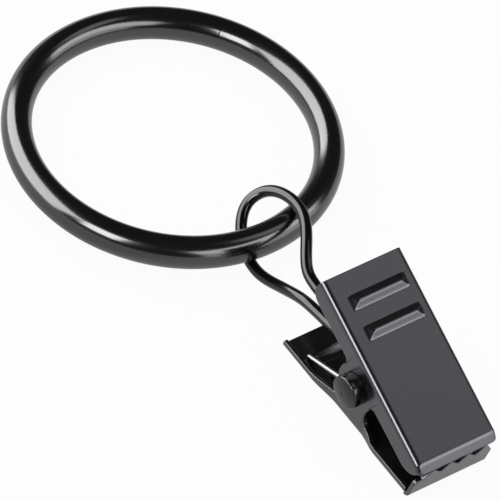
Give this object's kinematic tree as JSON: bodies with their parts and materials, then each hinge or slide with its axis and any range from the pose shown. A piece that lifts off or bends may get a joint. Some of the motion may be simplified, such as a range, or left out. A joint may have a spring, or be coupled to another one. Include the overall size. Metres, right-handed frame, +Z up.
{
  "type": "curtain ring with clip",
  "caption": "Round enamelled rod ring carrying a sprung two-jaw clip on a twisted wire eyelet, for hanging a curtain from a pole.",
  "frame": {"origin": "centre of the ring's hole", "axes": "+Y from the clip's jaws towards the far side of the ring, +X across the clip, +Z up from the surface that it lies on"},
  "size_m": [0.0462, 0.0878, 0.0185],
  "materials": {
    "ring_enamel": "thick glossy black enamel, softly uneven",
    "wire_enamel": "glossy black enamel on wire",
    "pin_enamel": "glossy black enamel, brighter at the head's rim",
    "jaw_enamel": "smooth glossy black enamel on pressed sheet",
    "spring_wire": "dark blackened spring wire"
  },
  "bodies": {
    "ring": {"ring": "ring_enamel"},
    "eyelet": {"eyelet": "wire_enamel"},
    "back_jaw": {"back_jaw": "jaw_enamel", "pivot_pin": "pin_enamel", "torsion_spring": "spring_wire"},
    "front_jaw": {"front_jaw": "jaw_enamel"}
  },
  "joints": [
    {"name": "eyelet_swing", "type": "hinge", "parent": "ring", "child": "eyelet", "pos_m": [0, -0.02106, 0.00086], "axis": [1, 0, 0], "range_deg": [-150, 150]},
    {"name": "clip_tilt", "type": "hinge", "parent": "eyelet", "child": "back_jaw", "pos_m": [-0.0013, -0.04991, 0.00477], "axis": [1, 0, 0], "range_deg": [-20, 8]},
    {"name": "jaw_opening", "type": "hinge", "parent": "back_jaw", "child": "front_jaw", "pos_m": [-0.0013, -0.04991, 0.00477], "axis": [-1, 0, 0], "range_deg": [0, 30], "stiffness_Nm_per_rad": 0.05, "springref_deg": -57.3, "deforming": ["torsion_spring"]}
  ]
}
